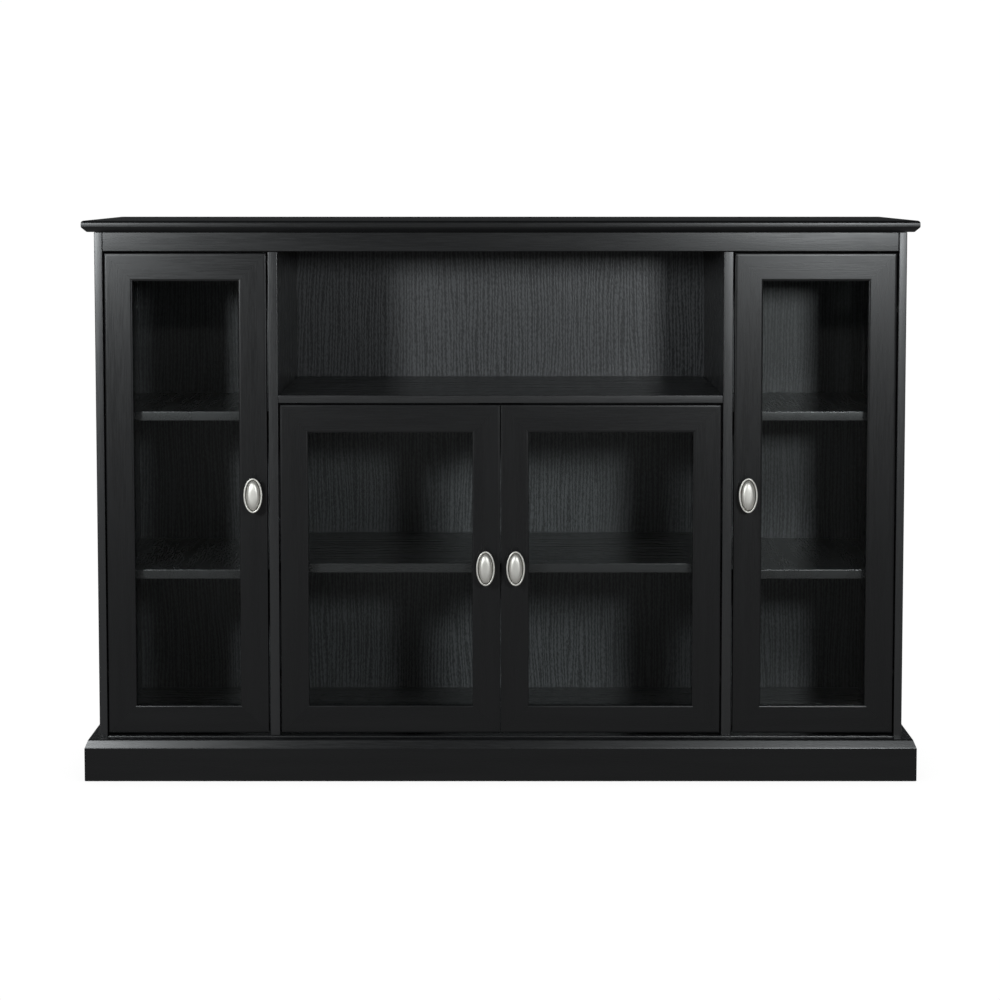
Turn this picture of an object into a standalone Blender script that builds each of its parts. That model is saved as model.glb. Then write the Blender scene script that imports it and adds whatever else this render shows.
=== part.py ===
"""Media cabinet: an open bay over two glazed doors, a glazed door at each side.

The front faces -Y and +Z is up.  The origin is on the floor, under the middle
of the box that holds the cabinet and its knobs.  All lengths are in metres.
"""

import math

import bmesh
import bpy
from mathutils import Matrix, Vector

# ---- Overall sizes ---------------------------------------------------------
HEIGHT = 0.889
PLINTH_WIDTH = 1.321
BODY_WIDTH = 1.2785
BODY_DEPTH = 0.3825
KNOB_REACH = 0.026
GAP = 0.0003                      # clearance between pieces that touch

# ---- Boards ----------------------------------------------------------------
BOARD = 0.015
SIDE_THICKNESS = 0.0127
DIVIDER_INNER = 0.3515            # half the clear width of the middle bay
TOP_THICKNESS = 0.018
TOP_OVERHANG = 0.0175
TOP_EASE = 0.005                  # chamfer along the top board's upper edge
TOP_UNDERCUT = 0.0075             # chamfer along its lower edge
RAIL_BOTTOM = 0.8403
BOTTOM_TOP = 0.068
MEDIA_SHELF_TOP = 0.6134
MEDIA_SHELF_THICKNESS = 0.0125
BACK_THICKNESS = 0.003
SHELF_SETBACK = 0.030
SHELF_PLAY = 0.001                # room at each end of an adjustable shelf
SIDE_SHELF_TOPS = {"upper": 0.585, "lower": 0.331}
CENTER_SHELF_TOP = 0.341

# ---- Plinth ----------------------------------------------------------------
PLINTH_HEIGHT = 0.066
PLINTH_SHOULDER_HEIGHT = 0.013
PLINTH_SHOULDER_INSET = 0.0057

# ---- Doors -----------------------------------------------------------------
DOOR_BOTTOM = 0.073
DOOR_TOP_GAP = 0.0024
SIDE_DOOR_HINGE_GAP = 0.0027
SIDE_DOOR_LATCH_GAP = 0.003
CENTER_DOOR_HINGE_GAP = 0.0028
CENTER_DOOR_MEETING_GAP = 0.0007  # half the gap between the two middle doors
FRAME_WIDTH = 0.0440
FRAME_THICKNESS = 0.018
FRAME_OUTER_EASE = 0.001
FRAME_INNER_EASE = 0.002
REBATE_WIDTH = 0.008
REBATE_LIP = 0.008                # wood left in front of the glass
GLASS_THICKNESS = 0.004
GLASS_PLAY = 0.001

# ---- Knobs -----------------------------------------------------------------
KNOB_HALF_WIDTH = 0.0148
KNOB_HALF_HEIGHT = 0.0276
KNOB_STEM_RADIUS = 0.005
KNOB_BASE_RADIUS = 0.0075
KNOB_RIM_WIDTH = 0.0045
KNOB_STEM_ENDS = (0.0039, 0.0117) # where the thin stem starts and ends, out from the door
KNOB_RIM_BACK = 0.0165            # out from the door, as are the next three
KNOB_RIM_WIDEST = 0.0195
KNOB_RIM_FRONT = 0.0221
KNOB_GROOVE = 0.0208
KNOB_RIM_BACK_SCALE = 0.9
KNOB_RIM_FRONT_SCALE = (0.93, 0.96)
KNOB_DOME_RINGS = ((0.0242, 0.75, 0.84), (KNOB_REACH, 0.30, 0.40))
KNOB_SEGMENTS = 24
KNOB_FROM_LATCH_EDGE = {"side": 0.0208, "center": 0.0231}
KNOB_RISE = {"side": 0.001, "center": 0.0046}  # above the middle of the door's height

# ---- Hinges ----------------------------------------------------------------
CUP_RADIUS = 0.013
CUP_DEPTH = 0.0105
CUP_WALL = 0.0008
CUP_FLANGE_RADIUS = 0.0152
CUP_FLANGE_THICKNESS = 0.0012
CUP_FROM_EDGE = 0.018
CUP_SEGMENTS = 20
HINGE_FROM_END = {"side": 0.090, "center": 0.080}
ARM_HEIGHT = 0.014
ARM_FRONT = 0.0208                # behind the door's front face, as are the next four
ARM_HEAD_BACK = 0.026
ARM_ELBOW = 0.030
ARM_FOOT = (0.036, 0.082)         # where the arm starts and ends along the upright
ARM_KNEE = 0.042
ARM_KNEE_RISE = 0.0115            # out from the upright
ARM_TAIL_RISE = 0.008
ARM_HEAD_NEAR = 0.010             # the head's back edge, short of the cup's middle
ARM_HEAD_SHORT = 0.006            # the head's front edge, short of the cup's middle
ARM_HEAD_PAST = 0.003             # the head's far edge, past the cup's middle
PLATE_THICKNESS = 0.003
PLATE_HEIGHT = 0.044
PLATE_DEPTH = 0.018
PLATE_BACK = 0.072

# ---- Derived places --------------------------------------------------------
FRONT = KNOB_REACH - (BODY_DEPTH + KNOB_REACH) / 2
BACK = FRONT + BODY_DEPTH
SIDE_OUTER = BODY_WIDTH / 2
SIDE_INNER = SIDE_OUTER - SIDE_THICKNESS
DIVIDER_OUTER = DIVIDER_INNER + BOARD
TOP_UNDERSIDE = HEIGHT - TOP_THICKNESS
PANEL_FRONT = BACK - BACK_THICKNESS - GAP
BOARD_BACK = PANEL_FRONT - GAP
SHELF_FRONT = FRONT + SHELF_SETBACK
PLINTH_THICKNESS = PLINTH_WIDTH / 2 - SIDE_OUTER - GAP
MEDIA_SHELF_UNDERSIDE = MEDIA_SHELF_TOP - MEDIA_SHELF_THICKNESS

X_AXIS = Vector((1, 0, 0))
Y_AXIS = Vector((0, 1, 0))
Z_AXIS = Vector((0, 0, 1))


def clear_scene():
    """Remove whatever the open file holds."""
    for item in list(bpy.data.objects):
        bpy.data.objects.remove(item)


def new_collection(name):
    """Link a new collection to the scene."""
    collection = bpy.data.collections.new(name)
    bpy.context.scene.collection.children.link(collection)
    return collection


def new_material(name, color, roughness, metallic=0.0, alpha=1.0):
    """Make a material with one Principled BSDF."""
    material = bpy.data.materials.new(name)
    material.use_nodes = True
    shader = material.node_tree.nodes["Principled BSDF"]
    shader.inputs["Base Color"].default_value = (*color, 1.0)
    shader.inputs["Roughness"].default_value = roughness
    shader.inputs["Metallic"].default_value = metallic
    shader.inputs["Alpha"].default_value = alpha
    material.diffuse_color = (*color, alpha)
    return material


clear_scene()
CABINET = new_collection("media_cabinet")
CUTTERS = new_collection("cutters")
WOOD = new_material("black_wood", (0.014, 0.015, 0.017), 0.42)
PANEL = new_material("black_back_panel", (0.020, 0.021, 0.023), 0.55)
GLASS = new_material("clear_glass", (0.80, 0.86, 0.86), 0.03, alpha=0.2)
NICKEL = new_material("brushed_nickel", (0.58, 0.56, 0.52), 0.32, metallic=1.0)
STEEL = new_material("plated_steel", (0.62, 0.63, 0.64), 0.28, metallic=1.0)


# ---- Building blocks -------------------------------------------------------
def place(name, mesh, material, location=(0, 0, 0)):
    """Put a mesh in the cabinet's collection as one named object."""
    mesh.name = name
    item = bpy.data.objects.new(name, mesh)
    item.location = location
    mesh.materials.append(material)
    CABINET.objects.link(item)
    return item


def board(name, low, high, material=WOOD):
    """Make a rectangular board between two opposite corners."""
    low, high = Vector(low), Vector(high)
    solid = bmesh.new()
    bmesh.ops.create_cube(solid, size=1.0)
    bmesh.ops.scale(solid, vec=high - low, verts=solid.verts)
    mesh = bpy.data.meshes.new(name)
    solid.to_mesh(mesh)
    solid.free()
    return place(name, mesh, material, (low + high) / 2)


def chamfer(item, chosen, width):
    """Chamfer the edges whose middle passes the test, in local coordinates."""
    solid = bmesh.new()
    solid.from_mesh(item.data)
    edges = [edge for edge in solid.edges if chosen((edge.verts[0].co + edge.verts[1].co) / 2)]
    bmesh.ops.bevel(solid, geom=edges, offset=width, segments=1, affect="EDGES")
    solid.to_mesh(item.data)
    solid.free()


def outline_mesh(points, depth):
    """Extrude a flat outline in local XY to a closed mesh centred on Z = 0."""
    curve = bpy.data.curves.new("outline", "CURVE")
    curve.dimensions = "2D"
    curve.fill_mode = "BOTH"
    curve.extrude = depth / 2
    spline = curve.splines.new("POLY")
    spline.points.add(len(points) - 1)
    for knot, point in zip(spline.points, points):
        knot.co = (*point, 0.0, 1.0)
    spline.use_cyclic_u = True
    holder = bpy.data.objects.new("outline", curve)
    CUTTERS.objects.link(holder)
    graph = bpy.context.evaluated_depsgraph_get()
    mesh = bpy.data.meshes.new_from_object(holder.evaluated_get(graph))
    bpy.data.objects.remove(holder)
    bpy.data.curves.remove(curve)
    solid = bmesh.new()
    solid.from_mesh(mesh)
    bmesh.ops.remove_doubles(solid, verts=solid.verts, dist=GAP / 10)
    bmesh.ops.recalc_face_normals(solid, faces=solid.faces)
    solid.to_mesh(mesh)
    solid.free()
    mesh.materials.clear()
    return mesh


def axes_matrix(inward, across):
    """Turn local X to inward, local Y to across and local Z to their cross product."""
    return Matrix((inward, across, inward.cross(across))).transposed()


def mitred_member(name, section, length, inward, across, middle, mitres=(1, 1)):
    """Extrude a section along its length and mitre the ends at 45 degrees.

    Section X is the distance inward from the long edge and section Y goes
    across.  mitres holds 1 for a mitred end and 0 for a square one.
    """
    mesh = outline_mesh(section, length)
    relief = GAP / math.sqrt(2)
    for vertex in mesh.vertices:
        low_mitre, high_mitre = mitres
        if vertex.co.z < 0:
            vertex.co.z += low_mitre * (vertex.co.x + relief)
        else:
            vertex.co.z -= high_mitre * (vertex.co.x + relief)
    item = place(name, mesh, WOOD, middle)
    item.rotation_euler = axes_matrix(inward, across).to_euler()
    return item


def lofted_oval(name, levels, segments, location, material):
    """Loft ovals (reach, half width, half height) along -Y and close both ends."""
    solid = bmesh.new()
    rings = []
    for reach, half_width, half_height in levels:
        ring = []
        for step in range(segments):
            angle = 2 * math.pi * step / segments
            corner = (half_width * math.cos(angle), -reach, half_height * math.sin(angle))
            ring.append(solid.verts.new(corner))
        rings.append(ring)
    for near, far in zip(rings, rings[1:]):
        for step in range(segments):
            after = (step + 1) % segments
            solid.faces.new((near[step], near[after], far[after], far[step]))
    solid.faces.new(rings[0])
    solid.faces.new(rings[-1])
    bmesh.ops.recalc_face_normals(solid, faces=solid.faces)
    mesh = bpy.data.meshes.new(name)
    solid.to_mesh(mesh)
    solid.free()
    mesh.shade_smooth()
    mesh.set_sharp_from_angle(angle=math.radians(40))
    return place(name, mesh, material, location)


def bore(item, location, radius, depth):
    """Cut a blind round bore into the back of a piece, along Y."""
    solid = bmesh.new()
    bmesh.ops.create_cone(solid, cap_ends=True, segments=CUP_SEGMENTS,
                          radius1=radius, radius2=radius, depth=2 * depth)
    mesh = bpy.data.meshes.new(f"{item.name}_bore")
    solid.to_mesh(mesh)
    solid.free()
    cutter = bpy.data.objects.new(mesh.name, mesh)
    cutter.location = location
    cutter.rotation_euler = (math.radians(90), 0, 0)
    cutter.hide_render = True
    cutter.display_type = "WIRE"
    CUTTERS.objects.link(cutter)
    cut = item.modifiers.new("hinge_bore", "BOOLEAN")
    cut.operation = "DIFFERENCE"
    cut.solver = "EXACT"
    cut.object = cutter


# ---- Carcass ---------------------------------------------------------------
def build_top_board():
    """Make the top, which overhangs the front and sides with a moulded edge."""
    half_width = SIDE_OUTER + TOP_OVERHANG
    top = board("top_board",
                (-half_width, FRONT - TOP_OVERHANG, TOP_UNDERSIDE), (half_width, BACK, HEIGHT))
    back_edge = (BACK - FRONT + TOP_OVERHANG) / 2
    chamfer(top, lambda middle: middle.z < -TOP_THICKNESS / 4 and middle.y < back_edge / 2,
            TOP_UNDERCUT)
    chamfer(top, lambda middle: middle.z > TOP_THICKNESS / 2 - GAP and middle.y < back_edge / 2,
            TOP_EASE)


def build_sides():
    """Make the side panels, which stand on the floor."""
    for side, sign in (("left", -1), ("right", 1)):
        inner, outer = sign * SIDE_INNER, sign * SIDE_OUTER
        board(f"side_panel_{side}",
              (min(inner, outer), FRONT, 0), (max(inner, outer), BACK, TOP_UNDERSIDE - GAP))


def build_dividers():
    """Make the dividers, notched at the top for the rail that crosses them."""
    notch_back = FRONT + BOARD + GAP
    top = TOP_UNDERSIDE - GAP
    outline = [(FRONT, BOTTOM_TOP + GAP), (BOARD_BACK, BOTTOM_TOP + GAP), (BOARD_BACK, top),
               (notch_back, top), (notch_back, RAIL_BOTTOM - GAP), (FRONT, RAIL_BOTTOM - GAP)]
    for side, sign in (("left", -1), ("right", 1)):
        mesh = outline_mesh(outline, BOARD)
        middle = sign * (DIVIDER_INNER + DIVIDER_OUTER) / 2
        item = place(f"divider_{side}", mesh, WOOD, (middle, 0, 0))
        item.rotation_euler = axes_matrix(Y_AXIS, Z_AXIS).to_euler()


def build_crosspieces():
    """Make the boards and rails that run across the cabinet."""
    inner = SIDE_INNER - GAP
    board("bottom_board",
          (-inner, FRONT, BOTTOM_TOP - BOARD), (inner, BOARD_BACK, BOTTOM_TOP))
    board("top_rail",
          (-inner, FRONT, RAIL_BOTTOM), (inner, FRONT + BOARD, TOP_UNDERSIDE - GAP))
    bay = DIVIDER_INNER - GAP
    board("media_shelf",
          (-bay, FRONT, MEDIA_SHELF_UNDERSIDE), (bay, BOARD_BACK, MEDIA_SHELF_TOP))


def build_plinth():
    """Make the moulded boards that wrap the base, mitred at the front corners."""
    section = [(0, 0), (0, PLINTH_HEIGHT - PLINTH_SHOULDER_HEIGHT),
               (PLINTH_SHOULDER_INSET, PLINTH_HEIGHT), (PLINTH_THICKNESS, PLINTH_HEIGHT),
               (PLINTH_THICKNESS, 0)]
    outer_front = FRONT - GAP - PLINTH_THICKNESS
    mitred_member("plinth_front", section, PLINTH_WIDTH, Y_AXIS, Z_AXIS, (0, outer_front, 0))
    for side, sign in (("left", -1), ("right", 1)):
        mitres = (0, 1) if side == "left" else (1, 0)
        mitred_member(f"plinth_{side}", section, BACK - outer_front, -sign * X_AXIS, Z_AXIS,
                      (sign * PLINTH_WIDTH / 2, (BACK + outer_front) / 2, 0), mitres)
    inner = SIDE_INNER - GAP
    board("plinth_back",
          (-inner, BOARD_BACK - BOARD, 0), (inner, BOARD_BACK, BOTTOM_TOP - BOARD - GAP))


def build_back_panels():
    """Make the thin panels nailed over the back edges of the dividers."""
    seam = (DIVIDER_INNER + DIVIDER_OUTER) / 2
    edge = SIDE_INNER - GAP
    spans = {"left": (-edge, -seam - GAP), "center": (-seam, seam), "right": (seam + GAP, edge)}
    for name, (low, high) in spans.items():
        board(f"back_panel_{name}", (low, PANEL_FRONT, BOTTOM_TOP - BOARD),
              (high, PANEL_FRONT + BACK_THICKNESS, TOP_UNDERSIDE - GAP), PANEL)


def build_adjustable_shelves():
    """Make the loose shelves that rest on pins behind the doors."""
    for side, sign in (("left", -1), ("right", 1)):
        ends = (sign * (DIVIDER_OUTER + SHELF_PLAY), sign * (SIDE_INNER - SHELF_PLAY))
        for level, top in SIDE_SHELF_TOPS.items():
            board(f"shelf_{side}_{level}", (min(ends), SHELF_FRONT, top - BOARD),
                  (max(ends), BOARD_BACK, top))
    end = DIVIDER_INNER - SHELF_PLAY
    board("shelf_center",
          (-end, SHELF_FRONT, CENTER_SHELF_TOP - BOARD), (end, BOARD_BACK, CENTER_SHELF_TOP))


# ---- Doors -----------------------------------------------------------------
def frame_section():
    """Return the door frame's section: inward from the edge, back from the face."""
    return [(0, FRAME_OUTER_EASE), (FRAME_OUTER_EASE, 0),
            (FRAME_WIDTH - FRAME_INNER_EASE, 0), (FRAME_WIDTH, FRAME_INNER_EASE),
            (FRAME_WIDTH, REBATE_LIP), (FRAME_WIDTH - REBATE_WIDTH, REBATE_LIP),
            (FRAME_WIDTH - REBATE_WIDTH, FRAME_THICKNESS), (0, FRAME_THICKNESS)]


def build_frame(door, left, right, top):
    """Make the two stiles and two rails of one door and return them by place."""
    section = frame_section()
    center_x = (left + right) / 2
    center_z = (DOOR_BOTTOM + top) / 2
    height = top - DOOR_BOTTOM
    width = right - left
    members = {
        "left": ("stile", height, X_AXIS, (left, FRONT, center_z)),
        "right": ("stile", height, -X_AXIS, (right, FRONT, center_z)),
        "top": ("rail", width, -Z_AXIS, (center_x, FRONT, top)),
        "bottom": ("rail", width, Z_AXIS, (center_x, FRONT, DOOR_BOTTOM)),
    }
    return {spot: mitred_member(f"{door}_{kind}_{spot}", section, length, inward, Y_AXIS, middle)
            for spot, (kind, length, inward, middle) in members.items()}


def build_glass(door, left, right, top):
    """Make the pane that lies in the frame's rebate."""
    inset = FRAME_WIDTH - REBATE_WIDTH + GLASS_PLAY
    front = FRONT + REBATE_LIP + GAP
    return board(f"{door}_glass", (left + inset, front, DOOR_BOTTOM + inset),
                 (right - inset, front + GLASS_THICKNESS, top - inset), GLASS)


def build_knob(door, location):
    """Make the oval knob: a waisted stem under a rimmed, domed head."""
    dome_width = KNOB_HALF_WIDTH - KNOB_RIM_WIDTH
    dome_height = KNOB_HALF_HEIGHT - KNOB_RIM_WIDTH
    back_scale = KNOB_RIM_BACK_SCALE
    front_scale_x, front_scale_z = KNOB_RIM_FRONT_SCALE
    levels = [
        (GAP, KNOB_BASE_RADIUS, KNOB_BASE_RADIUS),
        *((reach, KNOB_STEM_RADIUS, KNOB_STEM_RADIUS) for reach in KNOB_STEM_ENDS),
        (KNOB_RIM_BACK, back_scale * KNOB_HALF_WIDTH, back_scale * KNOB_HALF_HEIGHT),
        (KNOB_RIM_WIDEST, KNOB_HALF_WIDTH, KNOB_HALF_HEIGHT),
        (KNOB_RIM_FRONT, front_scale_x * KNOB_HALF_WIDTH, front_scale_z * KNOB_HALF_HEIGHT),
        (KNOB_GROOVE, dome_width, dome_height),
        *((reach, scale_x * dome_width, scale_z * dome_height)
          for reach, scale_x, scale_z in KNOB_DOME_RINGS),
    ]
    return lofted_oval(f"{door}_knob", levels, KNOB_SEGMENTS, location, NICKEL)


def build_cup(name, location):
    """Make a hinge cup, which sits in a bore in the stile's back."""
    inner = CUP_RADIUS - CUP_WALL
    profile = [(0, CUP_WALL - CUP_DEPTH), (inner, CUP_WALL - CUP_DEPTH),
               (inner, CUP_FLANGE_THICKNESS), (CUP_FLANGE_RADIUS, CUP_FLANGE_THICKNESS),
               (CUP_FLANGE_RADIUS, GAP), (CUP_RADIUS, GAP), (CUP_RADIUS, -CUP_DEPTH),
               (0, -CUP_DEPTH)]
    mesh = bpy.data.meshes.new(name)
    mesh.from_pydata([(radius, 0, height) for radius, height in profile],
                     [(step, step + 1) for step in range(len(profile) - 1)], [])
    cup = place(name, mesh, STEEL, location)
    cup.rotation_euler = (math.radians(-90), 0, 0)
    turn = cup.modifiers.new("turn", "SCREW")
    turn.steps = CUP_SEGMENTS
    turn.render_steps = CUP_SEGMENTS
    turn.use_merge_vertices = True
    turn.merge_threshold = GAP / 10
    return cup


def build_arm(name, panel_x, inward, height):
    """Make a hinge's arm with its mounting plate, screwed to an upright's face."""
    reach = CUP_FROM_EDGE + SIDE_DOOR_HINGE_GAP
    far = reach + ARM_HEAD_PAST
    foot_front, foot_back = ARM_FOOT
    outline = [(GAP, foot_front), (GAP, foot_back), (ARM_TAIL_RISE, foot_back),
               (ARM_KNEE_RISE, ARM_KNEE), (reach, ARM_ELBOW), (far, ARM_HEAD_BACK),
               (far, ARM_FRONT), (reach - ARM_HEAD_SHORT, ARM_FRONT),
               (reach - ARM_HEAD_NEAR, ARM_HEAD_BACK)]
    mesh = outline_mesh([(inward * out, back) for out, back in outline], ARM_HEIGHT)
    arm = place(name, mesh, STEEL, (panel_x, FRONT, height))
    ends = (panel_x + inward * GAP, panel_x + inward * PLATE_THICKNESS)
    plate = board(f"{name}_plate",
                  (min(ends), FRONT + PLATE_BACK - PLATE_DEPTH, height - PLATE_HEIGHT / 2),
                  (max(ends), FRONT + PLATE_BACK, height + PLATE_HEIGHT / 2), STEEL)
    CABINET.objects.unlink(plate)
    CUTTERS.objects.link(plate)
    plate.hide_render = True
    plate.display_type = "WIRE"
    join = arm.modifiers.new("mounting_plate", "BOOLEAN")
    join.operation = "UNION"
    join.solver = "EXACT"
    join.object = plate


def build_door(door, left, right, top, hinge_side, kind):
    """Make one door with its hinges, all its pieces under an empty on the axis."""
    frame = build_frame(door, left, right, top)
    inward = 1 if hinge_side == "left" else -1
    hinge_edge = left if hinge_side == "left" else right
    latch_edge = right if hinge_side == "left" else left
    center_z = (DOOR_BOTTOM + top) / 2
    knob = build_knob(door, (latch_edge - inward * KNOB_FROM_LATCH_EDGE[kind], FRONT,
                             center_z + KNOB_RISE[kind]))
    pieces = [*frame.values(), build_glass(door, left, right, top), knob]
    panel_gap = SIDE_DOOR_HINGE_GAP if kind == "side" else CENTER_DOOR_HINGE_GAP
    back_face = FRONT + FRAME_THICKNESS
    heights = {"upper": top - HINGE_FROM_END[kind], "lower": DOOR_BOTTOM + HINGE_FROM_END[kind]}
    for level, height in heights.items():
        cup_place = (hinge_edge + inward * CUP_FROM_EDGE, back_face, height)
        bore(frame[hinge_side], cup_place, CUP_RADIUS + GAP, CUP_DEPTH + GAP)
        pieces.append(build_cup(f"{door}_hinge_cup_{level}", cup_place))
        build_arm(f"{door}_hinge_arm_{level}", hinge_edge - inward * panel_gap, inward, height)
    pivot = bpy.data.objects.new(f"{door}_pivot", None)
    pivot.location = (hinge_edge, FRONT, center_z)
    CABINET.objects.link(pivot)
    for piece in pieces:
        piece.location -= pivot.location
        piece.parent = pivot


def build_doors():
    """Make the four doors."""
    side_inner = DIVIDER_OUTER + SIDE_DOOR_LATCH_GAP
    side_outer = SIDE_INNER - SIDE_DOOR_HINGE_GAP
    side_top = RAIL_BOTTOM - DOOR_TOP_GAP
    center_outer = DIVIDER_INNER - CENTER_DOOR_HINGE_GAP
    center_top = MEDIA_SHELF_UNDERSIDE - DOOR_TOP_GAP
    build_door("door_left", -side_outer, -side_inner, side_top, "left", "side")
    build_door("door_center_left", -center_outer, -CENTER_DOOR_MEETING_GAP, center_top,
               "left", "center")
    build_door("door_center_right", CENTER_DOOR_MEETING_GAP, center_outer, center_top,
               "right", "center")
    build_door("door_right", side_inner, side_outer, side_top, "right", "side")


build_top_board()
build_sides()
build_dividers()
build_crosspieces()
build_plinth()
build_back_panels()
build_adjustable_shelves()
build_doors()
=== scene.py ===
"""Finished look of a black media cabinet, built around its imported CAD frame.

Every sub-assembly is a class that reads its places from the frame, builds its
meshes in metres and dresses them with procedural finishes.
"""

import logging
import math
from collections.abc import Iterable, Sequence
from dataclasses import dataclass, field
from enum import Enum
from functools import lru_cache

import bmesh
import bpy
from mathutils import Matrix, Vector


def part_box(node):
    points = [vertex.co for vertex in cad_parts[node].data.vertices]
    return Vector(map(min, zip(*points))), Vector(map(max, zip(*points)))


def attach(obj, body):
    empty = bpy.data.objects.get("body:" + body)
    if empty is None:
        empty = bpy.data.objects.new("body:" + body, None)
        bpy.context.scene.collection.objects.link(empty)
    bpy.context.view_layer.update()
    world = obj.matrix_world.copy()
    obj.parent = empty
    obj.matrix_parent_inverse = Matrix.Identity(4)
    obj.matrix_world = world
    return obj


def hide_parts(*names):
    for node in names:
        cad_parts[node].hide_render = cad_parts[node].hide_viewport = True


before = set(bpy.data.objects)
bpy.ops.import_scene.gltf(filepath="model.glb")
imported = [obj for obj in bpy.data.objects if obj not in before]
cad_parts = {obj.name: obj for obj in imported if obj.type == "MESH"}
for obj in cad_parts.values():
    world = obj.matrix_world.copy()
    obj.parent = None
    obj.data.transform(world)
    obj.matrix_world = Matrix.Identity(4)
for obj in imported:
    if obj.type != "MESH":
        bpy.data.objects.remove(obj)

LOG = logging.getLogger("media_cabinet")
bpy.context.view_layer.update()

MM = 0.001
FIT_GAP = 0.3 * MM
ROOT = "carcass"
SHARP_ANGLE = math.radians(40)
X_AXIS, Y_AXIS, Z_AXIS = Vector((1, 0, 0)), Vector((0, 1, 0)), Vector((0, 0, 1))
AT_ORIGIN = Matrix.Identity(4)


class Axis(Enum):
    """The world axis that a board's grain runs along."""

    X = 0
    Y = 1
    Z = 2

    @classmethod
    def longest(cls, low: Vector, high: Vector) -> "Axis":
        """Return the axis along which a box is longest.

        Args:
            low: The box's lowest corner.
            high: The box's highest corner.

        Returns:
            The axis of the longest side.
        """
        sides = high - low
        return cls(max(range(3), key=lambda index: sides[index]))


class Slot(Enum):
    """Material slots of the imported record."""

    WOOD = "black_wood"
    PANEL = "back_panel"
    GLASS = "glass"
    NICKEL = "nickel"
    STEEL = "hinge_steel"


# ---- Shader graphs ---------------------------------------------------------
class Term:
    """A number on its way through a shader; arithmetic on it adds Math nodes."""

    def __init__(self, graph: "ShaderGraph", socket: bpy.types.NodeSocket) -> None:
        """Wrap an output socket of a graph."""
        self.graph = graph
        self.socket = socket

    def _math(self, operation: str, first: "Term | float", second: "Term | float") -> "Term":
        """Add one Math node.

        Args:
            operation: The node's operation.
            first: Its first operand.
            second: Its second operand.

        Returns:
            The node's result.
        """
        node = self.graph.node("ShaderNodeMath", {"operation": operation}, {0: first, 1: second})
        return Term(self.graph, node.outputs[0])

    def __add__(self, other: "Term | float") -> "Term":
        """Add to this number."""
        return self._math("ADD", self, other)

    def __sub__(self, other: "Term | float") -> "Term":
        """Subtract from this number."""
        return self._math("SUBTRACT", self, other)

    def __rsub__(self, other: float) -> "Term":
        """Subtract this number from a plain one."""
        return self._math("SUBTRACT", other, self)

    def __mul__(self, other: "Term | float") -> "Term":
        """Multiply this number."""
        return self._math("MULTIPLY", self, other)

    def __pow__(self, other: float) -> "Term":
        """Raise this number to a power."""
        return self._math("POWER", self, other)

    def sine(self) -> "Term":
        """Return the sine of this number, in radians."""
        return self._math("SINE", self, 0.0)

    __radd__ = __add__


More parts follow.
